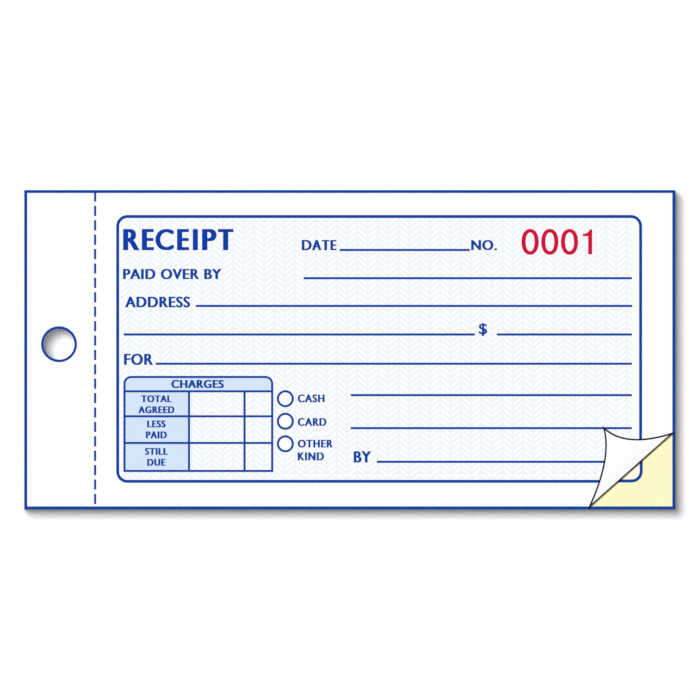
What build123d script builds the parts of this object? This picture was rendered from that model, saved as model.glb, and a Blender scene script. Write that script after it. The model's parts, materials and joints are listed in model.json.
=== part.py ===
"""Duplicate receipt book: numbered sets of a white original over a canary duplicate.

The sheets are padded along the left edge onto a chipboard backboard. Each sheet is a bound stub and a
detachable form, joined by the paper ties of a perforation. The top original's lower right corner is curled.
Frame: +X towards the free edge, +Y towards the top of the form, +Z up, origin under the middle of the book.
"""
from build123d import *
from math import atan2, cos, degrees, hypot, radians, sin
import os

# Sheets, in millimetres
LEAF_LENGTH = 127.0
STUB_WIDTH = 15.4
SHEET_HEIGHT = 69.85
PAPER_THICKNESS = 0.07

# Stack: every set is two sheets, and the loose sets on top have a node for each piece
SETS = 50
LOOSE_SETS = 4
BOARD_THICKNESS = 0.8
ADHESIVE_THICKNESS = 0.3

# Punched hole in the stub
HOLE_DIAMETER = 6.75
HOLE_FROM_BOUND_EDGE = 7.6
HOLE_ABOVE_CENTRE = 1.2

# Perforation: cuts through the sheet, with paper ties left between them
PERFORATION_PITCH = 3.15
PERFORATION_CUT = 2.2
PERFORATION_WIDTH = 0.3
PERFORATION_ABOVE_CENTRE = 0.43

# Curled corner, measured from the sheet's lower right corner: the flap's edges bend towards two pull points
FOLD_ALONG_BOTTOM = 19.25
FOLD_ALONG_SIDE = 17.05
TIP_FROM_SIDE = 16.0
TIP_FROM_BOTTOM = 18.35
LEFT_PULL_FROM_SIDE = 13.78
LEFT_PULL_FROM_BOTTOM = 11.57
TOP_PULL_FROM_SIDE = 11.18
TOP_PULL_FROM_BOTTOM = 13.27
CURL_RADIUS = 0.6
CURL_ANGLE = 160.0

QUARTER_TURN = 90.0

# Places that follow from the sizes
left = -(ADHESIVE_THICKNESS + STUB_WIDTH + LEAF_LENGTH) / 2
sheet_left = left + ADHESIVE_THICKNESS
perforation_x = sheet_left + STUB_WIDTH
right = perforation_x + LEAF_LENGTH
hinge_x = perforation_x + PERFORATION_WIDTH / 2
bottom = -SHEET_HEIGHT / 2
top = SHEET_HEIGHT / 2
stack_top = BOARD_THICKNESS + 2 * SETS * PAPER_THICKNESS
hole_place = (sheet_left + HOLE_FROM_BOUND_EDGE, HOLE_ABOVE_CENTRE)


def block(x_from, x_to, z_from, z_to):
    """A plain block over the full height of the sheets."""
    size = (x_to - x_from, SHEET_HEIGHT, z_to - z_from)
    return Pos((x_from + x_to) / 2, 0, (z_from + z_to) / 2) * Box(*size)


def sheet_floor(sheet):
    """Underside of a sheet, counted from 0 at the top of the stack."""
    return stack_top - (sheet + 1) * PAPER_THICKNESS


def punched(sheet, outline):
    """One sheet's stub from its outline, with the punched hole."""
    outline -= Pos(*hole_place) * Circle(HOLE_DIAMETER / 2)
    return Pos(0, 0, sheet_floor(sheet)) * extrude(outline, PAPER_THICKNESS)


def stub(sheet):
    """Bound margin of a sheet lower in the stack, up to the tear line."""
    middle = Pos((sheet_left + hinge_x) / 2, 0)
    return punched(sheet, middle * Rectangle(hinge_x - sheet_left, SHEET_HEIGHT))


def perforated_stub(sheet):
    """Bound margin of a loose sheet, with the cuts and ties of the perforation along the tear line."""
    middle = Pos((sheet_left + hinge_x) / 2, 0)
    outline = middle * Rectangle(hinge_x - sheet_left, SHEET_HEIGHT)
    row = GridLocations(0, PERFORATION_PITCH, 1, int(SHEET_HEIGHT / PERFORATION_PITCH))
    middle_of_row = Pos(perforation_x, PERFORATION_ABOVE_CENTRE)
    outline -= middle_of_row * row * Rectangle(PERFORATION_WIDTH, PERFORATION_CUT)
    return punched(sheet, outline)


def leaf(sheet):
    """Detachable form of one sheet, from the ends of the ties to the free edge."""
    floor = sheet_floor(sheet)
    return block(hinge_x, right, floor, floor + PAPER_THICKNESS)


# Fold of the curled corner: its outermost line runs from the bottom edge to the free edge
fold_start = (right - FOLD_ALONG_BOTTOM, bottom)
fold_end = (right, bottom + FOLD_ALONG_SIDE)
fold_length = hypot(FOLD_ALONG_BOTTOM, FOLD_ALONG_SIDE)
outward_x = FOLD_ALONG_SIDE / fold_length
outward_y = -FOLD_ALONG_BOTTOM / fold_length
flap_tip = (right - TIP_FROM_SIDE, bottom + TIP_FROM_BOTTOM)
left_pull = (right - LEFT_PULL_FROM_SIDE, bottom + LEFT_PULL_FROM_BOTTOM)
top_pull = (right - TOP_PULL_FROM_SIDE, bottom + TOP_PULL_FROM_BOTTOM)
outer_radius = CURL_RADIUS + PAPER_THICKNESS


def top_leaf():
    """Flat part of the top original, cut off where the curl leaves the sheet's plane."""
    outline = Polyline(
        (hinge_x, bottom),
        (fold_start[0] - outer_radius / outward_x, bottom),
        (right, fold_end[1] - outer_radius / outward_y),
        (right, top),
        (hinge_x, top),
        close=True,
    )
    return Pos(0, 0, sheet_floor(0)) * extrude(make_face(outline), PAPER_THICKNESS)


def paper_band(centre, radius, angle_from, angle_to):
    """Section of paper bent round a centre, with the given inner radius."""
    turn = angle_to - angle_from
    inner = CenterArc(centre, radius, angle_from, turn)
    outer = CenterArc(centre, radius + PAPER_THICKNESS, angle_from, turn)
    return make_face([inner, outer, Line(inner @ 0, outer @ 0), Line(inner @ 1, outer @ 1)])


def curled_corner():
    """Corner of the top original: a tight bend up off the sheet, then a flap leaning back over it."""
    section = Plane(
        origin=(*fold_start, sheet_floor(0)),
        x_dir=(outward_x, outward_y, 0),
        z_dir=(outward_y, -outward_x, 0),
    )
    bend_end = CURL_ANGLE - QUARTER_TURN
    reach = (fold_start[0] - flap_tip[0]) * outward_x + (fold_start[1] - flap_tip[1]) * outward_y
    flap_radius = CURL_RADIUS + (reach - outer_radius) / cos(radians(bend_end))
    bend_centre = (-outer_radius, outer_radius)
    shift = CURL_RADIUS - flap_radius
    flap_centre = (
        bend_centre[0] + shift * cos(radians(bend_end)),
        bend_centre[1] + shift * sin(radians(bend_end)),
    )
    flap_end = QUARTER_TURN + degrees(atan2(CURL_RADIUS, flap_radius))

    rising = section * paper_band(bend_centre, CURL_RADIUS, -QUARTER_TURN, 0)
    leaning = [
        section * paper_band(bend_centre, CURL_RADIUS, 0, bend_end),
        section * paper_band(flap_centre, flap_radius, bend_end, flap_end),
    ]
    run = fold_length + FOLD_ALONG_BOTTOM

    depth = flap_radius + outer_radius
    sheet_edges = block(hinge_x, right, 0, stack_top + depth)
    roll = extrude(rising, run, both=True) & sheet_edges

    past_end = (fold_end[0] + CURL_RADIUS * outward_x, fold_end[1] + CURL_RADIUS * outward_y)
    past_start = (fold_start[0] + CURL_RADIUS * outward_x, fold_start[1] + CURL_RADIUS * outward_y)
    outline = make_face([
        Bezier(fold_start, left_pull, flap_tip),
        Bezier(flap_tip, top_pull, fold_end),
        Polyline(fold_end, past_end, past_start, fold_start),
    ])
    trim = extrude(outline, stack_top + depth)
    flap = extrude(leaning[0], run, both=True) + extrude(leaning[1], run, both=True)
    return roll + (flap & trim)


os.makedirs("parts", exist_ok=True)


def save(name, *solids):
    """Write one node: a single piece, or a group of like pieces."""
    export_step(solids[0] if len(solids) == 1 else Compound(children=list(solids)), f"parts/{name}.step")


board_hole = Pos(*hole_place, BOARD_THICKNESS / 2) * Cylinder(HOLE_DIAMETER / 2, BOARD_THICKNESS)
save("backboard", block(sheet_left, right, 0, BOARD_THICKNESS) - board_hole)
save("padding_adhesive", block(left, sheet_left, 0, stack_top))

for number in range(1, LOOSE_SETS + 1):
    original = 2 * (number - 1)
    duplicate = original + 1
    save(f"original_{number}_stub", perforated_stub(original))
    save(f"duplicate_{number}_stub", perforated_stub(duplicate))
    save(f"original_{number}_leaf", top_leaf() if original == 0 else leaf(original))
    save(f"duplicate_{number}_leaf", leaf(duplicate))
save("original_1_curled_corner", curled_corner())

lower_originals = range(2 * LOOSE_SETS, 2 * SETS, 2)
lower_duplicates = range(2 * LOOSE_SETS + 1, 2 * SETS, 2)
save("lower_original_stubs", *[stub(sheet) for sheet in lower_originals])
save("lower_duplicate_stubs", *[stub(sheet) for sheet in lower_duplicates])
save("lower_original_leaves", *[leaf(sheet) for sheet in lower_originals])
save("lower_duplicate_leaves", *[leaf(sheet) for sheet in lower_duplicates])

print("hinge axis at x", hinge_x, "z", stack_top)
print("hole centre", hole_place, "book from x", left, "to", right)
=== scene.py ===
"""Duplicate receipt book, dressed as it lies on a white table and seen from straight above.

Numbered sets of a white original over a canary duplicate, padded along the left edge onto chipboard. The
sections follow the book as it is put together, from the backboard up to the print on the top sheet.
"""
import json
import math
import random

import bmesh
import bpy
from mathutils import Matrix, Vector, noise


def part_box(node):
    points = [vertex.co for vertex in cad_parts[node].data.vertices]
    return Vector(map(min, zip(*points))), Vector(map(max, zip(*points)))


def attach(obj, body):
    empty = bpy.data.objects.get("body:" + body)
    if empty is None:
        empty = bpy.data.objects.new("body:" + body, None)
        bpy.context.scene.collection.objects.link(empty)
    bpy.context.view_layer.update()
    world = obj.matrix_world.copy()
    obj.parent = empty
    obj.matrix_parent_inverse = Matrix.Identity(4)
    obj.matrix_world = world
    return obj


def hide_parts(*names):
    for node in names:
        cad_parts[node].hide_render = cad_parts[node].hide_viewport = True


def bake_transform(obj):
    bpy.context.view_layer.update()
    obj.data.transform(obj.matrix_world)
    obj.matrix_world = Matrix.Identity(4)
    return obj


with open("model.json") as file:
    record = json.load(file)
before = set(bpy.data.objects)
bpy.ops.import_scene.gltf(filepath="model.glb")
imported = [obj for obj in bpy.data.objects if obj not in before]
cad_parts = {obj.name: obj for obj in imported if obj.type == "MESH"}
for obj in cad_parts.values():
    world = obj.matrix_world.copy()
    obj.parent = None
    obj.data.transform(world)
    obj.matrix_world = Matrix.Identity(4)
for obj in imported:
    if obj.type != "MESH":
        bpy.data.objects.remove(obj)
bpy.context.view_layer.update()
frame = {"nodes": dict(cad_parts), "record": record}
nodes = frame["nodes"]
MM = 0.001

# Backboard
# One piece of grey-brown chipboard, pressed from recycled paper and cut to the size of the sheets.
# It carries the stack and gives a hard face to write on, and the filing hole is punched through it too.
CHIPBOARD_GREY = "#A39E94"
CHIPBOARD_DARK = "#948F84"
CHIPBOARD_PALE_FLECK = "#BFBAAF"
CHIPBOARD_DARK_FLECK = "#746F65"
FIBRE_CLOUD_MM, FLECK_MM = 3.0, 0.55
CLOUD_FROM, CLOUD_TO = 0.35, 0.65
PALE_FROM, PALE_TO = 0.6, 0.72
DARK_FROM, DARK_TO = 0.38, 0.28
CHIPBOARD_RELIEF = 0.05 * MM


def linear(hex_colour):
    """An sRGB hex colour as linear red, green, blue and alpha."""
    channels = [int(hex_colour[i:i + 2], 16) / 255 for i in (1, 3, 5)]
    return [c / 12.92 if c <= 0.04045 else ((c + 0.055) / 1.055) ** 2.4 for c in channels] + [1.0]


def add(material, kind, inputs=(), **settings):
    """Add one shader node: settings are its own properties, inputs are values or sockets to link from."""
    node = material.node_tree.nodes.new("ShaderNode" + kind)
    for name, value in settings.items():
        setattr(node, name, value)
    for name, value in dict(inputs).items():
        if isinstance(value, bpy.types.NodeSocket):
            material.node_tree.links.new(value, node.inputs[name])
        else:
            node.inputs[name].default_value = value
    return node


def new_material(name):
    """An empty node material with its output, and the coordinates of the piece in metres."""
    material = bpy.data.materials.new(name)
    material.use_nodes = True
    material.node_tree.nodes.clear()
    return material, add(material, "TexCoord").outputs["Object"]


def finish_material(material, **inputs):
    """Close a material with one principled surface."""
    sockets = {name.replace("_", " "): value for name, value in inputs.items()}
    surface = add(material, "BsdfPrincipled", sockets)
    add(material, "OutputMaterial", {"Surface": surface.outputs["BSDF"]})
    return material


# Chipboard: a dull felt of mixed fibres, faintly clouded, with pale and dark flecks of old print stock in it.
# The flecks are drawn somewhat coarser than real ones, so that they show.
chipboard, place = new_material("grey_chipboard")
cloud = add(chipboard, "TexNoise", {"Vector": place, "Scale": 1 / (FIBRE_CLOUD_MM * MM), "Detail": 6.0})
tone = add(chipboard, "ValToRGB", {"Fac": cloud.outputs["Fac"]})
tone.color_ramp.elements[0].position = CLOUD_FROM
tone.color_ramp.elements[0].color = linear(CHIPBOARD_DARK)
tone.color_ramp.elements[1].position = CLOUD_TO
tone.color_ramp.elements[1].color = linear(CHIPBOARD_GREY)
fleck = add(chipboard, "TexNoise", {"Vector": place, "Scale": 1 / (FLECK_MM * MM), "Detail": 2.0})
pale = add(chipboard, "MapRange", {
    "Value": fleck.outputs["Fac"], "From Min": PALE_FROM, "From Max": PALE_TO,
})
dark = add(chipboard, "MapRange", {
    "Value": fleck.outputs["Fac"], "From Min": DARK_FROM, "From Max": DARK_TO,
})
flecked = add(chipboard, "Mix", {
    "Factor": pale.outputs["Result"], "A": tone.outputs["Color"], "B": linear(CHIPBOARD_PALE_FLECK),
}, data_type="RGBA")
board_colour = add(chipboard, "Mix", {
    "Factor": dark.outputs["Result"], "A": flecked.outputs["Result"], "B": linear(CHIPBOARD_DARK_FLECK),
}, data_type="RGBA")
board_bump = add(chipboard, "Bump", {
    "Height": fleck.outputs["Fac"], "Strength": 0.5, "Distance": CHIPBOARD_RELIEF,
})
finish_material(chipboard, Base_Color=board_colour.outputs["Result"], Roughness=0.92,
                Specular_IOR_Level=0.25, Normal=board_bump.outputs["Normal"])
nodes["backboard"].data.materials.clear()
nodes["backboard"].data.materials.append(chipboard)

# Stubs
# The bound margin of every sheet stays in the book when its form is torn off. White and canary stubs
# alternate, are punched together for a filing post, and keep the cut ties of the perforation on their edge.
WHITE_BOND, WHITE_BOND_SHADE = "#F8F8F8", "#F3F3F4"
CANARY_BOND, CANARY_BOND_SHADE = "#F8F0C2", "#F4EAB8"
PAPER_CLOUD_MM, PAPER_TOOTH_MM = 9.0, 0.35
TOOTH_STRENGTH, TOOTH_DEPTH = 0.25, 0.01 * MM
PAPER_FINISH = {"Roughness": 0.85, "Specular_IOR_Level": 0.3}


def bond_paper(name, colour, shade):
    """Uncoated carbonless bond: matt, faintly clouded in the light, with a fine tooth from the felt.

    Only its level faces have the tooth, because on a thin upright edge it would look torn.
    """
    material, spot = new_material(name)
    clouds = add(material, "TexNoise", {"Vector": spot, "Scale": 1 / (PAPER_CLOUD_MM * MM), "Detail": 5.0})
    sheet_colour = add(material, "Mix", {
        "Factor": clouds.outputs["Fac"], "A": linear(colour), "B": linear(shade),
    }, data_type="RGBA")
    tooth = add(material, "TexNoise", {"Vector": spot, "Scale": 1 / (PAPER_TOOTH_MM * MM), "Detail": 3.0})
    level = add(material, "SeparateXYZ", {"Vector": add(material, "NewGeometry").outputs["True Normal"]})
    face_only = add(material, "Math", {0: level.outputs["Z"], 1: level.outputs["Z"]}, operation="MULTIPLY")
    strength = add(material, "Math", {0: face_only.outputs[0], 1: TOOTH_STRENGTH}, operation="MULTIPLY")
    felt = add(material, "Bump", {
        "Height": tooth.outputs["Fac"], "Strength": strength.outputs[0], "Distance": TOOTH_DEPTH,
    })
    return material, spot, sheet_colour.outputs["Result"], felt.outputs["Normal"]


def plain_paper(name, colour, shade):
    """Bond paper with nothing printed on it."""
    material, _, sheet_colour, felt = bond_paper(name, colour, shade)
    return finish_material(material, Base_Color=sheet_colour, Normal=felt, **PAPER_FINISH)


# White bond is bleached to a clean white; canary is dyed in the pulp, so its colour is even to the eye.
white_paper = plain_paper("white_bond_paper", WHITE_BOND, WHITE_BOND_SHADE)
canary_paper = plain_paper("canary_bond_paper", CANARY_BOND, CANARY_BOND_SHADE)
for name, node in nodes.items():
    if name.endswith("_stub"):
        node.data.materials.clear()
        node.data.materials.append(white_paper if "original" in name else canary_paper)

# Lower stubs
# The stubs under the loose sets, one thin plate a sheet, drilled for the filing post. The whole stack was
# trimmed on a guillotine, which leaves the sheets a tenth of a millimetre apart and their ends in fine lines.
WHITE_EDGE, WHITE_EDGE_SHADE = "#F8F8F6", "#E6E5E2"
CANARY_EDGE, CANARY_EDGE_SHADE = "#F8F3DA", "#EAE4C6"
DRILLED_EDGE, DRILLED_EDGE_SHADE = "#FBFBFB", "#F0F0F1"
EDGE_LINE_MM, EDGE_LINE_STRETCH = 0.4, 50.0
EDGE_FROM, EDGE_TO = 0.35, 0.65
HOLE_SEGMENTS = 48
HOLE_WALL_REACH = 1.1
UPRIGHT = 0.5
TRIM_DRIFT, TRIM_SCATTER = 0.11 * MM, 0.03 * MM
TRIM_SEED = 12
DRIFT_SHEETS, DRIFT_APART, DRIFT_ROW = 8, 5.0, 0.5
FLUSH_SHEETS = 6
stub_left, hinge_x = [corner.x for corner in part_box("lower_original_stubs")]
free_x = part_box("lower_original_leaves")[1].x
sheet_low_y, sheet_high_y = [corner.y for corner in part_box("lower_original_leaves")]
stack_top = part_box("original_1_stub")[1].z
paper = stack_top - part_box("original_1_stub")[0].z
lower_floor, lower_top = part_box("lower_duplicate_leaves")[0].z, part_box("lower_original_leaves")[1].z
lower_count = round((lower_top - lower_floor) / paper)
filing_hole = next(mount for mount in frame["record"]["mounts"] if mount["name"] == "filing_hole")
hole_x, hole_y = filing_hole["pos_m"][:2]
hole_radius = filing_hole["dims"]["r_mm"] * MM

# How far each sheet's foot, head and free edge stand back: a slow drift up the stack and a little scatter.
# The uppermost sheets are flush with the loose ones.
trimming = random.Random(TRIM_SEED)
trims = []
for sheet in range(lower_count):
    loose = min(1.0, (lower_count - 1 - sheet) / FLUSH_SHEETS)
    drift = [abs(noise.noise((sheet / DRIFT_SHEETS, DRIFT_APART * side, DRIFT_ROW))) for side in range(3)]
    trims.append([loose * (TRIM_DRIFT * away + trimming.uniform(0, TRIM_SCATTER)) for away in drift])


def cut_edge(name, colour, shade):
    """Guillotined paper: a close pile of fibre ends, matt, in lines a few sheets wide so that they show."""
    material, spot = new_material(name)
    stretch = (1 / EDGE_LINE_STRETCH, 1 / EDGE_LINE_STRETCH, 1.0)
    level = add(material, "Mapping", {"Vector": spot, "Scale": stretch})
    lines = add(material, "TexNoise", {
        "Vector": level.outputs["Vector"], "Scale": 1 / (EDGE_LINE_MM * MM), "Detail": 4.0,
    })
    strength = add(material, "MapRange", {
        "Value": lines.outputs["Fac"], "From Min": EDGE_FROM, "From Max": EDGE_TO,
    })
    edge_colour = add(material, "Mix", {
        "Factor": strength.outputs["Result"], "A": linear(colour), "B": linear(shade),
    }, data_type="RGBA")
    return finish_material(material, Base_Color=edge_colour.outputs["Result"], Roughness=0.9,
                           Specular_IOR_Level=0.2)


# The knife leaves the outer edges slightly grey, and the drill leaves the wall of the hole clean and bright.
white_edge = cut_edge("guillotined_white_paper", WHITE_EDGE, WHITE_EDGE_SHADE)
drilled_edge = cut_edge("drilled_paper", DRILLED_EDGE, DRILLED_EDGE_SHADE)
canary_edge = cut_edge("guillotined_canary_paper", CANARY_EDGE, CANARY_EDGE_SHADE)


def new_piece(mesh_builder, name, *materials, smooth_angle=30.0):
    """A mesh object in the row frame from a finished bmesh, shaded smooth up to an edge angle."""
    mesh = bpy.data.meshes.new(name)
    mesh_builder.to_mesh(mesh)
    mesh_builder.free()
    for material in materials:
        mesh.materials.append(material)
    mesh.shade_smooth()
    mesh.set_sharp_from_angle(angle=math.radians(smooth_angle))
    piece = bpy.data.objects.new(name, mesh)
    bpy.context.scene.collection.objects.link(piece)
    return piece


def pour(builder, shape):
    """Add a finished shape to a piece, and free it."""
    carrier = bpy.data.meshes.new("carrier")
    shape.to_mesh(carrier)
    shape.free()
    builder.from_mesh(carrier)
    bpy.data.meshes.remove(carrier)


def mark_edges(builder):
    """Give the upright faces of flat sheets the second material, and the wall of the hole the third."""
    builder.normal_update()
    for face in builder.faces:
        if abs(face.normal.z) < UPRIGHT:
            spot = face.calc_center_median()
            from_hole = math.hypot(spot.x - hole_x, spot.y - hole_y)
            face.material_index = 2 if from_hole < HOLE_WALL_REACH * hole_radius else 1


def sheet_floors(node):
    """The underside of each sheet of a node that holds every second sheet."""
    low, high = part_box(node)
    return [low.z + 2 * sheet * paper for sheet in range(round((high.z - low.z + paper) / (2 * paper)))]


def trimmed(floor):
    """Where the guillotine left the foot, the head and the free edge of the lower sheet on a floor."""
    foot, head, free = trims[round((floor - lower_floor) / paper)]
    return sheet_low_y + foot, sheet_high_y - head, free_x - free


def punched_stub(floor):
    """One stub: a rectangle filled up to the drilled hole, with the thickness of the paper."""
    plate = bmesh.new()
    foot, head, _ = trimmed(floor)
    middle = Matrix.Translation(((stub_left + hinge_x) / 2, (foot + head) / 2, 0))
    size = Matrix.Diagonal((hinge_x - stub_left, head - foot, 1.0, 1.0))
    bmesh.ops.create_grid(plate, x_segments=1, y_segments=1, size=0.5, matrix=middle @ size)
    bmesh.ops.delete(plate, geom=plate.faces[:], context="FACES_ONLY")
    bmesh.ops.create_circle(plate, segments=HOLE_SEGMENTS, radius=hole_radius,
                            matrix=Matrix.Translation((hole_x, hole_y, 0)))
    bmesh.ops.triangle_fill(plate, edges=plate.edges[:], use_beauty=True, normal=(0, 0, 1))
    bmesh.ops.solidify(plate, geom=plate.faces[:], thickness=paper)
    lift = floor - min(vert.co.z for vert in plate.verts)
    bmesh.ops.translate(plate, verts=plate.verts[:], vec=(0, 0, lift))
    return plate


def lower_stubs(node, name, slot, *materials):
    """All the stubs of one colour under the loose sets."""
    builder = bmesh.new()
    for floor in sheet_floors(node):
        pour(builder, punched_stub(floor))
    mark_edges(builder)
    piece = new_piece(builder, name, *materials)
    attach(piece, "book")
    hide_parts(node)


lower_stubs("lower_original_stubs", "lower_white_stubs", "white_paper", white_paper, white_edge, drilled_edge)
lower_stubs("lower_duplicate_stubs", "lower_canary_stubs", "canary_paper", canary_paper, canary_edge,
            drilled_edge)

# Lower sheets
# The unused forms under the top ones: white originals and canary duplicates in turn, each on its stub and cut
# with it, and cut across beside the tear line.
BEND_LENGTH = 4.0 * MM
BEND_CUTS = 28


def slab(builder, low, high):
    """A thin block between two corners."""
    low, high = Vector(low), Vector(high)
    shape = Matrix.Translation((low + high) / 2) @ Matrix.Diagonal((*(high - low), 1.0))
    return bmesh.ops.create_cube(builder, size=1.0, matrix=shape)["verts"]


def cut_across_bend(builder):
    """Cross lines beside the tear line, so that what lies there can bend."""
    for cut in range(1, BEND_CUTS + 1):
        every = builder.verts[:] + builder.edges[:] + builder.faces[:]
        at = (hinge_x + cut * BEND_LENGTH / BEND_CUTS, 0, 0)
        bmesh.ops.bisect_plane(builder, geom=every, plane_co=at, plane_no=(1, 0, 0))


def lower_sheets(node, name, slot, *materials):
    """All the leaves of one colour under the loose sets."""
    builder = bmesh.new()
    for floor in sheet_floors(node):
        foot, head, free = trimmed(floor)
        slab(builder, (hinge_x, foot, floor), (free, head, floor + paper))
    cut_across_bend(builder)
    mark_edges(builder)
    piece = new_piece(builder, name, *materials)
    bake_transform(piece)
    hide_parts(node)


lower_sheets("lower_original_leaves", "lower_white_sheets", "white_paper", white_paper, white_edge)
lower_sheets("lower_duplicate_leaves", "lower_canary_sheets", "canary_paper", canary_paper, canary_edge)

# Padding adhesive
# A brushed-on film of flexible padding compound along the bound edge. It dries milky and slightly rubbery,
# with fine ripples from the brush, and it holds every stub and the backboard together.
ADHESIVE_MILK, ADHESIVE_THIN = "#E8E6DC", "#D9D5C6"
BRUSH_STREAK_MM, BRUSH_STRETCH = 1.6, 12.5
BRUSH_RELIEF = 0.05 * MM
FILM_RIPPLE, RIPPLE_ALONG, RIPPLE_UP = 0.05 * MM, 4 * MM, 1.5 * MM
FILM_CUTS_ALONG, FILM_CUTS_UP = 90, 12
film_low, film_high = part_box("padding_adhesive")

# Padding adhesive: a milky film with a soft sheen, thinner and yellower between the strokes of the brush.
adhesive, place = new_material("dried_padding_adhesive")
streaks = add(adhesive, "Mapping", {"Vector": place, "Scale": (1.0, 1 / BRUSH_STRETCH, 1.0)})
streak = add(adhesive, "TexNoise", {
    "Vector": streaks.outputs["Vector"], "Scale": 1 / (BRUSH_STREAK_MM * MM), "Detail": 4.0,
})
film_colour = add(adhesive, "Mix", {
    "Factor": streak.outputs["Fac"], "A": linear(ADHESIVE_MILK), "B": linear(ADHESIVE_THIN),
}, data_type="RGBA")
film_bump = add(adhesive, "Bump", {
    "Height": streak.outputs["Fac"], "Strength": 0.4, "Distance": BRUSH_RELIEF,
})
finish_material(adhesive, Base_Color=film_colour.outputs["Result"], Roughness=0.38, Coat_Weight=0.15,
                Normal=film_bump.outputs["Normal"])

builder = bmesh.new()
slab(builder, film_low, film_high)
across = [edge for edge in builder.edges if abs(edge.verts[0].co.y - edge.verts[1].co.y) > MM]
bmesh.ops.subdivide_edges(builder, edges=across, cuts=FILM_CUTS_ALONG, use_grid_fill=True)
upright = [edge for edge in builder.edges if abs(edge.verts[0].co.z - edge.verts[1].co.z) > MM]
bmesh.ops.subdivide_edges(builder, edges=upright, cuts=FILM_CUTS_UP, use_grid_fill=True)
for vert in builder.verts:
    if vert.co.x < film_low.x + FILM_RIPPLE:
        ripple = noise.noise((0, vert.co.y / RIPPLE_ALONG, vert.co.z / RIPPLE_UP))
        vert.co.x += FILM_RIPPLE * (1 + ripple)
film = new_piece(builder, "padding_adhesive_film", adhesive)
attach(film, "book")
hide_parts("padding_adhesive")

# Form paper
# The printed face of a leaf. Inside the form's frame the paper has a faint herringbone ground, a common
# security tint, in pale grey on the original and in pale cream on the duplicate.
PERFORATION_HALF = 0.15 * MM
perforation_x = hinge_x - PERFORATION_HALF
TINT_LEFT = perforation_x + 5.7 * MM
WHITE_TINT_RIGHT, CANARY_TINT_RIGHT = perforation_x + 117.6 * MM, perforation_x + 119.0 * MM
TINT_LOW, TINT_HIGH = -28.3 * MM, 28.9 * MM
HERRINGBONE_ARM, HERRINGBONE_PITCH, HERRINGBONE_RISE = 2.265 * MM, 1.31 * MM, 0.85
HERRINGBONE_SEAM = 0.3 * MM
HERRINGBONE_PEAK = perforation_x + 34.8 * MM
BAR_FROM, BAR_TO = -0.5, 0.4
WHITE_TINT, WHITE_BARS = "#E8EAEC", "#F3F4F5"
CANARY_TINT, CANARY_BARS = "#EFF0E0", "#F6F3D8"


def form_paper(name, colour, shade, tint, bars, tint_right):
    """Bond paper with a tinted ground inside the form's frame, and paler herringbone bars in it.

    The slanting bars meet in narrow upright seams, which keep the tint of the ground.
    """
    material, spot, sheet_colour, felt = bond_paper(name, colour, shade)
    split = add(material, "SeparateXYZ", {"Vector": spot})
    from_peak = add(material, "Math", {0: split.outputs["X"], 1: HERRINGBONE_PEAK}, operation="SUBTRACT")
    arm = add(material, "Math", {0: from_peak.outputs[0], 1: HERRINGBONE_ARM}, operation="PINGPONG")
    slope = add(material, "Math", {
        0: arm.outputs[0], 1: HERRINGBONE_RISE, 2: split.outputs["Y"],
    }, operation="MULTIPLY_ADD")
    turns = add(material, "Math", {
        0: slope.outputs[0], 1: math.tau / HERRINGBONE_PITCH,
    }, operation="MULTIPLY")
    wave = add(material, "Math", {0: turns.outputs[0]}, operation="SINE")
    bar = add(material, "MapRange", {"Value": wave.outputs[0], "From Min": BAR_FROM, "From Max": BAR_TO})
    seam = add(material, "Math", {0: from_peak.outputs[0], 1: HERRINGBONE_ARM / 2}, operation="PINGPONG")
    clear = add(material, "MapRange", {
        "Value": seam.outputs[0], "From Min": HERRINGBONE_SEAM / 3, "From Max": HERRINGBONE_SEAM,
    })
    in_bar = add(material, "Math", {0: bar.outputs[0], 1: clear.outputs[0]}, operation="MULTIPLY")
    ground = add(material, "Mix", {
        "Factor": in_bar.outputs[0], "A": linear(tint), "B": linear(bars),
    }, data_type="RGBA")
    within = []
    for axis, low, high in (("X", TINT_LEFT, tint_right), ("Y", TINT_LOW, TINT_HIGH)):
        centred = add(material, "Math", {0: split.outputs[axis], 1: (low + high) / 2}, operation="SUBTRACT")
        away = add(material, "Math", {0: centred.outputs[0]}, operation="ABSOLUTE")
        near = add(material, "Math", {0: away.outputs[0], 1: (high - low) / 2}, operation="LESS_THAN")
        within.append(near.outputs[0])
    inside = add(material, "Math", dict(enumerate(within)), operation="MULTIPLY")
    printed = add(material, "Mix", {
        "Factor": inside.outputs[0], "A": sheet_colour, "B": ground.outputs["Result"],
    }, data_type="RGBA")
    return finish_material(material, Base_Color=printed.outputs["Result"], Normal=felt, **PAPER_FINISH)


white_form = form_paper("white_form_paper", WHITE_BOND, WHITE_BOND_SHADE, WHITE_TINT, WHITE_BARS,
                        WHITE_TINT_RIGHT)
canary_form = form_paper("canary_form_paper", CANARY_BOND, CANARY_BOND_SHADE, CANARY_TINT, CANARY_BARS,
                         CANARY_TINT_RIGHT)

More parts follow.
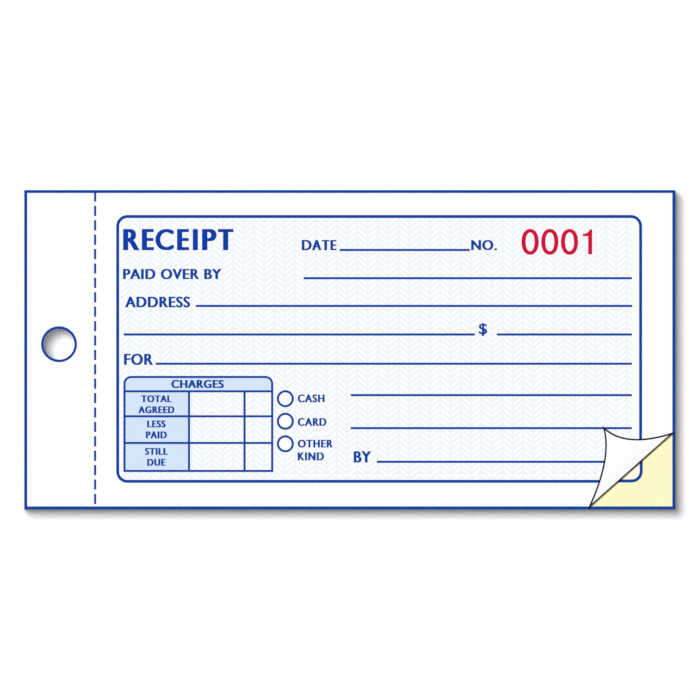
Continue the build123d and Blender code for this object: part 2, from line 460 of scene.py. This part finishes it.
# Printed form
# Every leaf carries the same receipt form, offset-printed in dark blue, with pale blue cells and a red set
# number. The ink is a film a hundredth of a millimetre thick; the lettering is plain words of such forms.
INK_BLUE, INK_BLUE_THIN = "#003E96", "#0649A1"
INK_RED, INK_RED_THIN = "#C60634", "#CE1A44"
TITLE_BLUE, TITLE_BLUE_THIN = "#02379A", "#0A41A6"
CELL_BLUE, CELL_BLUE_THIN = "#CCDBED", "#D1DFF0"
CELL_ON_CANARY, CELL_ON_CANARY_THIN = "#CAD8B4", "#CFDCBA"
INK_MOTTLE_MM = 0.3
MOTTLE_FROM, MOTTLE_TO = 0.45, 0.8
INK_FILM, INK_SUNK = 0.02 * MM, 0.008 * MM
PRINT_STEP = 0.002 * MM
BLUE, CELL, RED, BARE, TITLE = range(5)
ON_TOP, BETWEEN, CROSSING, UNDER = range(4)
BORDER_LINE, FRAME_LINE, RULE_LINE, TABLE_LINE, CIRCLE_LINE = 0.65, 0.655, 0.485, 0.475, 0.49
CORNER_SEGMENTS, DISC_SEGMENTS, LETTER_SEGMENTS = 8, 48, 5
LETTER_SPREAD, LETTER_WEIGHT, LETTER_NARROW, LETTER_SPACING = 0.13, 0.007, 0.95, 1.05
SMALL_TYPE = {"spread": 0.115, "narrow": 0.86, "spacing": 1.1}


def ink_and_painted_shade(name, colour, thin_colour):
    """Offset ink on uncoated paper: soaked in, almost matt, and a little uneven in strength; also the painted
    edge shade on the curl.
    """
    material, spot = new_material(name)
    mottle = add(material, "TexNoise", {"Vector": spot, "Scale": 1 / (INK_MOTTLE_MM * MM), "Detail": 3.0})
    strength = add(material, "MapRange", {
        "Value": mottle.outputs["Fac"], "From Min": MOTTLE_FROM, "From Max": MOTTLE_TO,
    })
    film = add(material, "Mix", {
        "Factor": strength.outputs["Result"], "A": linear(colour), "B": linear(thin_colour),
    }, data_type="RGBA")
    return finish_material(material, Base_Color=film.outputs["Result"], Roughness=0.8,
                           Specular_IOR_Level=0.08)


# Lines and words are a deep blue, and the heading, a larger solid area, looks brighter. The set number is
# struck in red. The cells are a screen of fine blue dots, which looks evenly pale blue, or greenish on
# canary.
blue_ink = ink_and_painted_shade("blue_offset_ink", INK_BLUE, INK_BLUE_THIN)
red_ink = ink_and_painted_shade("red_numbering_ink", INK_RED, INK_RED_THIN)
title_ink = ink_and_painted_shade("bright_blue_offset_ink", TITLE_BLUE, TITLE_BLUE_THIN)
cell_ink = ink_and_painted_shade("pale_blue_screen_tint", CELL_BLUE, CELL_BLUE_THIN)
cell_ink_on_canary = ink_and_painted_shade("pale_blue_screen_tint_on_canary", CELL_ON_CANARY, CELL_ON_CANARY_THIN)


def lay(form, shape, ink, layer=ON_TOP):
    """Pour one flat printed shape into a form, in one of its inks; layers keep crossing lines apart."""
    for face in shape.faces:
        face.material_index = ink
        if face.normal.z < 0:
            face.normal_flip()
    bmesh.ops.translate(shape, verts=shape.verts[:], vec=(0, 0, -layer * PRINT_STEP))
    pour(form, shape)


def panel(left, low, right, high, radius=0.0, round_foot=True):
    """A flat rectangle in millimetres from the tear line and the book's centre line, with rounded corners."""
    shape = bmesh.new()
    middle = Matrix.Translation((perforation_x + (left + right) / 2 * MM, (low + high) / 2 * MM, 0))
    place_and_size = middle @ Matrix.Diagonal(((right - left) * MM, (high - low) * MM, 1.0, 1.0))
    made = bmesh.ops.create_grid(shape, x_segments=1, y_segments=1, size=0.5, matrix=place_and_size)
    if radius:
        rounded = [corner for corner in made["verts"] if round_foot or corner.co.y > (low + high) / 2 * MM]
        bmesh.ops.bevel(shape, geom=rounded, offset=radius * MM, offset_type="OFFSET", affect="VERTICES",
                        segments=CORNER_SEGMENTS, profile=0.5, material=-1)
    return shape


def outlined(shape, line):
    """Keep only the outline of a flat shape, drawn inside its edge."""
    inner = shape.faces[:]
    bmesh.ops.inset_region(shape, faces=inner, thickness=line * MM, use_boundary=True,
                           use_even_offset=True)
    bmesh.ops.delete(shape, geom=inner, context="FACES")
    return shape


def disc(across, up, diameter):
    """A flat disc in millimetres from the tear line and the centre line."""
    shape = bmesh.new()
    bmesh.ops.create_circle(shape, cap_ends=True, segments=DISC_SEGMENTS, radius=diameter / 2 * MM,
                            matrix=Matrix.Translation((perforation_x + across * MM, up * MM, 0)))
    shape.normal_update()
    return shape


def rule(form, left, right, up):
    """A writing line."""
    lay(form, panel(left, up - RULE_LINE / 2, right, up + RULE_LINE / 2), BLUE)


def upright_line(form, across, low, high, line):
    """A line between two columns."""
    lay(form, panel(across - line / 2, low, across + line / 2, high), BLUE, BETWEEN)


def label(form, words, low, high, left=None, right=None, centre=None, ink=BLUE, spread=LETTER_SPREAD,
          weight=LETTER_WEIGHT, narrow=LETTER_NARROW, spacing=LETTER_SPACING):
    """A line of capitals that fills a height, from the left, about a centre, or between two ends.

    It is set three times, a little apart, which makes the upright strokes heavier than the level ones.
    """
    lettering = bpy.data.curves.new("lettering", "FONT")
    lettering.body = words
    lettering.offset = weight
    lettering.resolution_u = LETTER_SEGMENTS
    lettering.space_character = spacing + spread / (high - low)
    carrier = bpy.data.objects.new("lettering", lettering)
    letters = bpy.data.meshes.new_from_object(carrier)
    across = [vert.co.x for vert in letters.vertices]
    up = [vert.co.y for vert in letters.vertices]
    length, height = max(across) - min(across), max(up) - min(up)
    tall = (high - low) / height
    wide = (right - left - 2 * spread) / length if right else tall * narrow
    start = left + spread if centre is None else centre - wide * length / 2
    for layer, shift in enumerate((-spread, 0.0, spread)):
        shape = bmesh.new()
        shape.from_mesh(letters)
        bmesh.ops.beautify_fill(shape, faces=shape.faces[:], edges=shape.edges[:])
        bmesh.ops.translate(shape, verts=shape.verts[:], vec=(-min(across), -min(up), 0))
        bmesh.ops.scale(shape, verts=shape.verts[:], vec=(wide * MM, tall * MM, 1))
        at = (perforation_x + (start + shift) * MM, low * MM, 0)
        bmesh.ops.translate(shape, verts=shape.verts[:], vec=at)
        lay(form, shape, ink, layer)
    bpy.data.objects.remove(carrier)
    bpy.data.curves.remove(lettering)
    bpy.data.meshes.remove(letters)


def ink_film(form, sheet_top):
    """Turn the flat print into a thin film of ink that lies on a sheet."""
    bmesh.ops.solidify(form, geom=form.faces[:], thickness=INK_FILM)
    highest = max(vert.co.z for vert in form.verts)
    lift = sheet_top + INK_FILM - INK_SUNK - highest
    bmesh.ops.translate(form, verts=form.verts[:], vec=(0, 0, lift))


half_height = sheet_high_y / MM
leaf_left, leaf_right = (hinge_x - perforation_x) / MM, (free_x - perforation_x) / MM
DASH_LEFT, DASH_RIGHT = -0.14, 0.34
DASH_LENGTH, DASH_PITCH, DASHES = 2.24, 3.15, 22
DASHES_ABOVE_CENTRE = 0.43


def dashes(form, left, right):
    """The row of dashes along the tear line, or the part of it on one side of the tear."""
    for dash in range(DASHES):
        middle = DASHES_ABOVE_CENTRE + (dash - (DASHES - 1) / 2) * DASH_PITCH
        lay(form, panel(left, middle - DASH_LENGTH / 2, right, middle + DASH_LENGTH / 2), BLUE, BETWEEN)


def border(form, left, right, outer):
    """The line along the head and the foot of a stub or a leaf, and down its outer edge."""
    lay(form, panel(left, half_height - BORDER_LINE, right, half_height), BLUE)
    lay(form, panel(left, -half_height, right, BORDER_LINE - half_height), BLUE)
    upright_line(form, outer, -half_height, half_height, BORDER_LINE)


FRAME_LEFT, FRAME_LOW, FRAME_RIGHT, FRAME_HIGH, FRAME_RADIUS = 4.71, -29.12, 119.74, 29.46, 2.42
TITLE_LOW, TITLE_HIGH = 21.76, 26.4
TITLE_LETTERS = (("R", 6.22, 9.85, 0.24), ("E", 10.32, 12.96, 0.28), ("C", 13.27, 17.32, 0.2),
                 ("E", 18.02, 20.66, 0.28), ("I", 21.46, 22.58, 0.28), ("P", 23.48, 26.67, 0.25),
                 ("T", 26.96, 30.35, 0.3))
RULES = ((53.6, 82.05, 21.81), (45.7, 117.5, 15.64), (22.1, 117.6, 9.57), (6.33, 83.15, 3.33),
         (87.95, 117.5, 3.33), (13.34, 117.5, -3.07), (56.0, 117.5, -9.94), (56.0, 117.5, -17.16),
         (61.7, 117.5, -24.52))
DATE_LOW, DATE_HIGH = 21.76, 24.0
DATE_LETTERS = (("D", 45.29, 47.47, 0.13), ("A", 47.5, 49.62, 0.15), ("T", 49.68, 51.36, 0.185),
                ("E", 51.55, 52.9, 0.15))
WORDS = (("NO.", 21.76, 24.0, 82.34, 88.02), ("PAID OVER BY", 15.4, 17.7, 6.2, None),
         ("ADDRESS", 9.24, 11.62, 6.63, 20.88), ("FOR", -3.35, -0.87, 6.41, 12.8),
         ("BY", -24.67, -22.2, 56.65, 60.5))
printed_form = bmesh.new()
dashes(printed_form, leaf_left, DASH_RIGHT)
form_frame = panel(FRAME_LEFT, FRAME_LOW, FRAME_RIGHT, FRAME_HIGH, FRAME_RADIUS)
lay(printed_form, outlined(form_frame, FRAME_LINE), BLUE)
for letter, left, right, spread in TITLE_LETTERS:
    label(printed_form, letter, TITLE_LOW, TITLE_HIGH, left=left, right=right, ink=TITLE, spread=spread)
for letter, left, right, spread in DATE_LETTERS:
    label(printed_form, letter, DATE_LOW, DATE_HIGH, left=left, right=right, spread=spread)
for left, right, up in RULES:
    rule(printed_form, left, right, up)
for words, low, high, left, right in WORDS:
    label(printed_form, words, low, high, left=left, right=right)
label(printed_form, "$", 3.0, 5.8, left=84.0, right=85.85, spread=0.08)

# The small table of charges: a pale head and a pale first column, three rows and two columns to fill in.
TABLE_LEFT, TABLE_LOW, TABLE_RIGHT, TABLE_HIGH, TABLE_RADIUS = 6.28, -26.76, 39.06, -5.73, 1.7
TABLE_ROWS, TABLE_COLUMNS = (-9.1, -14.57, -20.4), (20.64, 32.78)
ROW_LEFT, ROW_RIGHT, COLUMN_LOW = 6.45, 38.9, -26.55
CELL_LEFT, CELL_LOW, CELL_RIGHT, CELL_HIGH, CELL_RADIUS = 6.35, -26.6, 39.0, -5.84, 1.5
CELL_GAP = 0.05
ROW_WORDS = (("TOTAL", -11.5), ("AGREED", -13.9), ("LESS", -17.0), ("PAID", -19.4), ("STILL", -23.0),
             ("DUE", -25.4))
ROW_WORD_HEIGHT, ROW_WORD_CENTRE = 1.53, 13.5
head_line = TABLE_ROWS[0]
head_cell = panel(CELL_LEFT, head_line + CELL_GAP, CELL_RIGHT, CELL_HIGH, CELL_RADIUS, round_foot=False)
lay(printed_form, head_cell, CELL, UNDER)
lay(printed_form, panel(CELL_LEFT, CELL_LOW, TABLE_COLUMNS[0], head_line - CELL_GAP), CELL, UNDER)
table = panel(TABLE_LEFT, TABLE_LOW, TABLE_RIGHT, TABLE_HIGH, TABLE_RADIUS, round_foot=False)
lay(printed_form, outlined(table, TABLE_LINE), BLUE)
for row in TABLE_ROWS:
    row_line = panel(ROW_LEFT, row - TABLE_LINE / 2, ROW_RIGHT, row + TABLE_LINE / 2)
    lay(printed_form, row_line, BLUE, CROSSING)
for column in TABLE_COLUMNS:
    upright_line(printed_form, column, COLUMN_LOW, head_line, TABLE_LINE)
label(printed_form, "CHARGES", -8.4, -6.6, centre=22.5)
for words, low in ROW_WORDS:
    label(printed_form, words, low, low + ROW_WORD_HEIGHT, centre=ROW_WORD_CENTRE, **SMALL_TYPE)

# The ways of paying, each with a ring to tick whose inside is bare paper.
TICK_ACROSS, TICK_UP, TICK_RING, TICK_BARE = 41.7, (-10.72, -15.65, -20.58), 3.74, 3.4
PAY_WORDS = (("CASH", -11.52), ("CARD", -16.68), ("OTHER", -21.41), ("KIND", -24.2))
PAY_WORD_LEFT, PAY_WORD_HEIGHT = 44.4, 1.74
for up in TICK_UP:
    lay(printed_form, disc(TICK_ACROSS, up, TICK_BARE), BARE, UNDER)
    lay(printed_form, outlined(disc(TICK_ACROSS, up, TICK_RING), CIRCLE_LINE), BLUE)
for words, low in PAY_WORDS:
    label(printed_form, words, low, low + PAY_WORD_HEIGHT, left=PAY_WORD_LEFT, **SMALL_TYPE)

# The set number, and how far the duplicate's print was out of register.
NUMBER_LEFT, NUMBER_LOW, NUMBER_HIGH = 93.34, 20.74, 26.44
NUMERAL_WIDTH, NUMERAL_PITCH, NUMERAL_SPREAD, NUMERAL_WEIGHT = 3.8, 4.31, 0.034, 0.002
ONE_OUTLINE = ((1.66, 0.12), (2.54, 0.12), (2.54, 5.6), (2.0, 5.6), (1.84, 5.2), (1.5, 4.86), (1.05, 4.66),
               (0.5, 4.6), (0.5, 4.08), (1.66, 4.08))
DUPLICATE_SHIFT = (0.13, 0.08)


def numeral(form, digit, left):
    """One figure of the red set number, where a one has a stem and a curved flag."""
    if digit != "1":
        right = left + NUMERAL_WIDTH
        label(form, digit, NUMBER_LOW, NUMBER_HIGH, left=left, right=right, ink=RED, spread=NUMERAL_SPREAD,
              weight=NUMERAL_WEIGHT)
        return
    one = bmesh.new()
    one.faces.new([one.verts.new((perforation_x + (left + across) * MM, (NUMBER_LOW + up) * MM, 0))
                   for across, up in ONE_OUTLINE])
    one.normal_update()
    lay(form, one, RED)


def form_print(name, set_number, sheet_top, canary=False, bends=False, flat_cut=None):
    """The print of a numbered leaf, ready to bend at the tear line, or cut off where its sheet curls up."""
    form = printed_form.copy()
    if canary:
        across, up = DUPLICATE_SHIFT
        bmesh.ops.translate(form, verts=form.verts[:], vec=(across * MM, up * MM, 0))
    border(form, leaf_left, leaf_right, leaf_right - BORDER_LINE / 2)
    for place_in_number, digit in enumerate(f"{set_number:04d}"):
        numeral(form, digit, NUMBER_LEFT + place_in_number * NUMERAL_PITCH)
    if flat_cut:
        at, outwards = flat_cut
        every = form.verts[:] + form.edges[:] + form.faces[:]
        bmesh.ops.bisect_plane(form, geom=every, plane_co=at, plane_no=outwards, clear_outer=True)
    if bends:
        cut_across_bend(form)
    ink_film(form, sheet_top)
    return new_piece(form, name, blue_ink, cell_ink_on_canary if canary else cell_ink, red_ink,
                     canary_paper if canary else white_paper, title_ink)


LOOSE_SETS = sum(name.startswith("original_") and name.endswith("_leaf") for name in nodes)
lower_print = form_print("lower_form_print", LOOSE_SETS + 1, lower_top, bends=True)
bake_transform(lower_print)

# Loose leaves
# The detachable forms of the top sets, which turn one by one at the tear line. Each is a plain trimmed
# sheet, printed on its upper face only; the topmost original is made further down, with its curled corner.
sheets = []
for number in range(1, LOOSE_SETS + 1):
    sheets.append(("original", number, white_form, white_edge, white_paper))
    sheets.append(("duplicate", number, canary_form, canary_edge, canary_paper))
for kind, number, printed_face, edge, plain_face in sheets[1:]:
    builder = bmesh.new()
    slab(builder, *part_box(f"{kind}_{number}_leaf"))
    mark_edges(builder)
    for face in builder.faces:
        if face.normal.z < -UPRIGHT:
            face.material_index = 2
    leaf = new_piece(builder, f"{kind}_{number}_sheet", printed_face, edge, plain_face)
    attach(leaf, f"{kind}_{number}_page")
    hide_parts(f"{kind}_{number}_leaf")
    leaf_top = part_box(f"{kind}_{number}_leaf")[1].z
    leaf_print = form_print(f"{kind}_{number}_print", number, leaf_top, kind == "duplicate")
    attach(leaf_print, f"{kind}_{number}_page")

# Top original with its curled corner
# The same sheet as the others, but thumbed: its lower right corner rolls up off the duplicate in a tight bend
# and leans back over the form in a wider curve. The printed face ends up inside the curl.
FOLD_ALONG_BOTTOM, FOLD_ALONG_SIDE = 19.25 * MM, 17.05 * MM
TIP_FROM_SIDE, TIP_FROM_BOTTOM = 16.0 * MM, 18.35 * MM
LEFT_PULL_FROM_SIDE, LEFT_PULL_FROM_BOTTOM = 13.78 * MM, 11.57 * MM
TOP_PULL_FROM_SIDE, TOP_PULL_FROM_BOTTOM = 11.18 * MM, 13.27 * MM
CURL_RADIUS, CURL_ANGLE = 0.6 * MM, 160.0
BEND_STEPS, FLAP_STEPS = 40, 30
JUST_ABOVE, JUST_SHORT = 1.01, 0.99
WELD = 0.001 * MM
# The back of the top sheet is painted whiter than the bond paper, as painted light on the leaning flap.
BACK_WHITE_WITH_PAINTED_LIGHT = "#FEFEFE"

fold_start = Vector((free_x - FOLD_ALONG_BOTTOM, sheet_low_y, 0))
fold_end = Vector((free_x, sheet_low_y + FOLD_ALONG_SIDE, 0))
along_fold = (fold_end - fold_start).normalized()
off_fold = Vector((along_fold.y, -along_fold.x, 0))
fold_length = (fold_end - fold_start).length


def from_fold(from_side, from_bottom):
    """How far a point, given from the sheet's lower right corner, lies along the fold and off it."""
    away = Vector((free_x - from_side, sheet_low_y + from_bottom, 0)) - fold_start
    return Vector((away.dot(along_fold), away.dot(off_fold)))


flap_tip = from_fold(TIP_FROM_SIDE, TIP_FROM_BOTTOM)
left_pull = from_fold(LEFT_PULL_FROM_SIDE, LEFT_PULL_FROM_BOTTOM)
top_pull = from_fold(TOP_PULL_FROM_SIDE, TOP_PULL_FROM_BOTTOM)
outer_radius = CURL_RADIUS + paper
lean_from = math.radians(CURL_ANGLE - 90)
flap_radius = outer_radius - (flap_tip.y + outer_radius) / math.cos(lean_from)
bend_centre = Vector((-outer_radius, outer_radius))
flap_centre = bend_centre + (outer_radius - flap_radius) * Vector((math.cos(lean_from), math.sin(lean_from)))


def curl_section(angle):
    """Distance off the fold and height of the paper's outer face, where that face looks along an angle."""
    facing = Vector((math.cos(angle), math.sin(angle)))
    if angle <= lean_from:
        return bend_centre + outer_radius * facing
    return flap_centre + flap_radius * facing


def pulled_edge(off, start, pull):
    """Where an edge of the flap is along the fold: it curves from the fold past a pull point to the tip."""
    slope, spread = -pull.y, flap_tip.y - 2 * pull.y
    share = -off / (slope + math.sqrt(max(slope ** 2 + spread * off, 0.0)))
    return (1 - share) ** 2 * start + 2 * share * (1 - share) * pull.x + share ** 2 * flap_tip.x


def curl_edges(angle, off):
    """Both ends of the curled sheet along the fold: straight trimmed edges, then the flap's hollow ones."""
    if angle < 0:
        slant = along_fold.x / along_fold.y
        return off * slant, fold_length - off / slant
    off = min(off, 0.0)
    left = pulled_edge(off, 0.0, left_pull)
    right = pulled_edge(off, fold_length, top_pull)
    return left, max(left, right)


def curl_point(along, off, height):
    """A point of the curl in the row frame, from its place along the fold, off it and above the sheet."""
    spot = fold_start + along_fold * along + off_fold * off
    return Vector((spot.x, spot.y, stack_top - paper + height))


curl_angles = [math.radians(-90 + step * CURL_ANGLE / BEND_STEPS) for step in range(BEND_STEPS + 1)]
lean_left = math.radians(90) - lean_from
curl_angles += [lean_from + lean_left * step / FLAP_STEPS for step in range(1, FLAP_STEPS + 1)]

# The flat form is one face, and its slanting edge is drawn out along the curl, row by row.
builder = bmesh.new()
bend_left, bend_right = curl_edges(curl_angles[0], -outer_radius)
corners = [
    Vector((hinge_x, sheet_low_y, stack_top - paper)),
    curl_point(bend_left, -outer_radius, 0),
    curl_point(bend_right, -outer_radius, 0),
    Vector((free_x, sheet_high_y, stack_top - paper)),
    Vector((hinge_x, sheet_high_y, stack_top - paper)),
]
flat = builder.faces.new([builder.verts.new(corner) for corner in corners])
rim = flat.edges[1]
for angle in curl_angles[1:]:
    off, height = curl_section(angle)
    left, right = curl_edges(angle, off)
    made = bmesh.ops.extrude_edge_only(builder, edges=[rim])["geom"]
    rim = next(part for part in made if isinstance(part, bmesh.types.BMEdge))
    low_vert, high_vert = sorted(rim.verts, key=lambda vert: (vert.co - fold_start).dot(along_fold))
    low_vert.co = curl_point(left, off, height)
    high_vert.co = curl_point(right, off, height)
bmesh.ops.remove_doubles(builder, verts=builder.verts[:], dist=WELD)
bmesh.ops.recalc_face_normals(builder, faces=builder.faces[:])
if flat.normal.z > 0:
    bmesh.ops.reverse_faces(builder, faces=builder.faces[:])
bmesh.ops.solidify(builder, geom=builder.faces[:], thickness=paper)

# Solidify moves the curl's inner corners square to the paper, so they go back onto the trimmed edges.
for vert in builder.verts:
    spot = vert.co - fold_start
    along, off, height = spot.dot(along_fold), spot.dot(off_fold), vert.co.z - stack_top + paper
    if height > JUST_ABOVE * paper or off > -JUST_SHORT * outer_radius:
        trimmed_end = min(curl_edges(height - outer_radius, off), key=lambda end: abs(end - along))
        vert.co = curl_point(trimmed_end, off, height)
largest = max(builder.faces, key=lambda face: face.calc_area() * face.normal.z)
for face in builder.faces:
    face.material_index = int(face is not largest)

# The back of the sheet has no ink on it and faces the lamp. It is painted whiter than the other bond paper:
# painted light that evens out the shade on the leaning flap.
back_with_painted_light = plain_paper("white_bond_back_with_painted_light", BACK_WHITE_WITH_PAINTED_LIGHT, WHITE_BOND)
top_sheet = new_piece(builder, "original_1_sheet", white_form, back_with_painted_light)
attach(top_sheet, "original_1_page")
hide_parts("original_1_leaf", "original_1_curled_corner")

# The border line runs on along both edges of the curl's printed inner face. A fine, almost black line of
# painted shade follows the edges of the flap and its fold, where a thin paper edge shows dark against more
# white paper.
PAINTED_EDGE_SHADE, PAINTED_EDGE_SHADE_THIN = "#17181D", "#26272C"
PAINTED_EDGE_SHADE_WIDTH = 0.36 * MM
FOLD_SHADE_FROM, FOLD_SHADE_TO, FOLD_SHADE_STEP = 8, 57, 4
MERGE = 0.0002 * MM
painted_edge_shade = ink_and_painted_shade("dark_painted_edge_shade", PAINTED_EDGE_SHADE, PAINTED_EDGE_SHADE_THIN)


def curl_ribbon(name, angles, line, ink, left_edge=True, right_edge=True, inner=False, inset=(0.0, 0.0),
                end_ink=None):
    """A line on the curl, in blue ink or in painted edge shade, beside its left edge or its right edge, or
    all the way between them.

    An end ink takes over where the line reaches the border along the free edge.
    """
    ribbon = bmesh.new()
    film = INK_FILM - INK_SUNK
    rows = []
    for angle in angles:
        facing = Vector((math.cos(angle), math.sin(angle)))
        off, height = curl_section(angle) + facing * (-paper - film if inner else film)
        ends = curl_edges(angle, off)
        beside = curl_edges(angle, off + line)
        left, right = [line * math.hypot(1, (further - end) / line) for end, further in zip(ends, beside)]
        ends = ends[0] + inset[0], ends[1] - inset[1]
        if ends[1] < ends[0]:
            break
        middle = sum(ends) / 2
        if not right_edge:
            ends = ends[0], min(ends[0] + left, middle)
        if not left_edge:
            ends = max(ends[1] - right, middle), ends[1]
        rows.append([curl_point(end, off, height) for end in ends])
    rim = ribbon.edges.new([ribbon.verts.new(point) for point in rows[0]])
    for row in rows[1:]:
        made = bmesh.ops.extrude_edge_only(ribbon, edges=[rim])["geom"]
        rim = next(part for part in made if isinstance(part, bmesh.types.BMEdge))
        ends = sorted(rim.verts, key=lambda vert: (vert.co - fold_start).dot(along_fold))
        for vert, point in zip(ends, row):
            vert.co = point
    bmesh.ops.remove_doubles(ribbon, verts=ribbon.verts[:], dist=MERGE)
    bmesh.ops.recalc_face_normals(ribbon, faces=ribbon.faces[:])
    bmesh.ops.solidify(ribbon, geom=ribbon.faces[:], thickness=INK_FILM / 2)
    inks = [ink]
    if end_ink:
        inks.append(end_ink)
        border_inside = free_x - BORDER_LINE * MM
        every = ribbon.verts[:] + ribbon.edges[:] + ribbon.faces[:]
        bmesh.ops.bisect_plane(ribbon, geom=every, plane_co=(border_inside, 0, 0), plane_no=(1, 0, 0))
        bmesh.ops.dissolve_degenerate(ribbon, dist=MERGE, edges=ribbon.edges[:])
        for face in ribbon.faces:
            face.material_index = int(face.calc_center_median().x > border_inside)
    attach(new_piece(ribbon, name, *inks), "original_1_page")


flap_angles = [angle for angle in curl_angles if angle >= 0]
fold_shade_angles = [math.radians(angle) for angle in range(FOLD_SHADE_FROM, FOLD_SHADE_TO, FOLD_SHADE_STEP)]
# Painted edge shade: near-black lines along the flap's two edges and along the outer side of its fold.
curl_ribbon("curl_left_painted_edge_shade", flap_angles, PAINTED_EDGE_SHADE_WIDTH, painted_edge_shade, right_edge=False)
curl_ribbon("curl_right_painted_edge_shade", flap_angles, PAINTED_EDGE_SHADE_WIDTH, painted_edge_shade, left_edge=False,
            end_ink=blue_ink)
curl_ribbon("curl_fold_painted_shade", fold_shade_angles, PAINTED_EDGE_SHADE_WIDTH, painted_edge_shade, end_ink=blue_ink)
curl_ribbon("curl_left_border", curl_angles, BORDER_LINE * MM, blue_ink, right_edge=False, inner=True)
curl_ribbon("curl_right_border", curl_angles, BORDER_LINE * MM, blue_ink, left_edge=False, inner=True)
frame_inset = (
    (half_height + FRAME_LOW) * MM / along_fold.y,
    (leaf_right - FRAME_RIGHT) * MM / along_fold.x,
)
curl_ribbon("curl_left_frame", curl_angles, FRAME_LINE * MM, blue_ink, right_edge=False, inner=True,
            inset=frame_inset)
curl_ribbon("curl_right_frame", curl_angles, FRAME_LINE * MM, blue_ink, left_edge=False, inner=True,
            inset=frame_inset)
bend_line = fold_start - off_fold * outer_radius
top_print = form_print("original_1_print", 1, stack_top, flat_cut=(bend_line, off_fold))
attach(top_print, "original_1_page")

# Print on the top stub
# The stub carries the rest of the blue border, a ring round the filing hole and a dash over each cut of the
# perforation, which shows where to tear.
HOLE_RING_LINE = 0.56
hole_ring = 2 * (hole_radius / MM + HOLE_RING_LINE)
bound_edge = (stub_left - perforation_x) / MM
stub_print = bmesh.new()
border(stub_print, bound_edge, leaf_left, bound_edge + BORDER_LINE / 2)
lay(stub_print, outlined(disc((hole_x - perforation_x) / MM, hole_y / MM, hole_ring), HOLE_RING_LINE), BLUE)
dashes(stub_print, DASH_LEFT, leaf_left)
ink_film(stub_print, stack_top)
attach(new_piece(stub_print, "stub_print", blue_ink), "book")

# Floor, light and camera
# A plain white table, an even white studio round it and one large soft lamp above the upper left, whose
# short shadow falls to the right and below. The camera looks straight down through a long lens.
FLOOR_WHITE, FLOOR_WHITE_DULL = "#FAFBFE", "#F6F7FB"
STUDIO_WHITE = "#F9FAFF"
STUDIO_STRENGTH = 0.275
KEY_STRENGTH, KEY_SPREAD, KEY_DIRECTION = 2.745, 21, (0.2, -0.2, -1)
FLOOR_SIDE, FLOOR_CLOUD_MM = 6.0, 250.0
FLOOR_LIFT = 0.01 * MM
PHOTO_SIDE_PX, PHOTO_PX_PER_MM = 700, 4.572
CAMERA_HEIGHT, SENSOR_WIDTH = 6.0, 36.0
CAMERA_ASIDE, CAMERA_DOWN = 0.044 * MM, 0.066 * MM

# Matt white paint: an almost even white that takes soft shadows and shows no reflection. Its face is a hair
# above the backboard's underside, so that a view from below has the board in front of it.
floor_paint, place = new_material("matt_white_table")
mottle = add(floor_paint, "TexNoise", {"Vector": place, "Scale": 1 / (FLOOR_CLOUD_MM * MM), "Detail": 2.0})
table_colour = add(floor_paint, "Mix", {
    "Factor": mottle.outputs["Fac"], "A": linear(FLOOR_WHITE), "B": linear(FLOOR_WHITE_DULL),
}, data_type="RGBA")
finish_material(floor_paint, Base_Color=table_colour.outputs["Result"], Roughness=0.9,
                Specular_IOR_Level=0.1)
builder = bmesh.new()
bmesh.ops.create_grid(builder, x_segments=1, y_segments=1, size=FLOOR_SIDE / 2,
                      matrix=Matrix.Translation((0, 0, FLOOR_LIFT)))
new_piece(builder, "floor", floor_paint)

world = bpy.data.worlds.new("white_studio")
world.use_nodes = True
studio = world.node_tree.nodes["Background"]
studio.inputs["Color"].default_value = linear(STUDIO_WHITE)
studio.inputs["Strength"].default_value = STUDIO_STRENGTH
bpy.context.scene.world = world

lamp = bpy.data.lights.new("key", "SUN")
lamp.energy = KEY_STRENGTH
lamp.angle = math.radians(KEY_SPREAD)
key = bpy.data.objects.new("key", lamp)
key.rotation_euler = Vector(KEY_DIRECTION).to_track_quat("-Z", "Y").to_euler()
bpy.context.scene.collection.objects.link(key)

lens = bpy.data.cameras.new("camera")
lens.sensor_width = SENSOR_WIDTH
lens.lens = SENSOR_WIDTH * CAMERA_HEIGHT / (PHOTO_SIDE_PX / PHOTO_PX_PER_MM * MM)
camera = bpy.data.objects.new("camera", lens)
camera.location = ((stub_left + free_x) / 2 + CAMERA_ASIDE, -CAMERA_DOWN, stack_top + CAMERA_HEIGHT)
bpy.context.scene.collection.objects.link(camera)
bpy.context.scene.camera = camera
bpy.context.scene.view_settings.view_transform = "Standard"
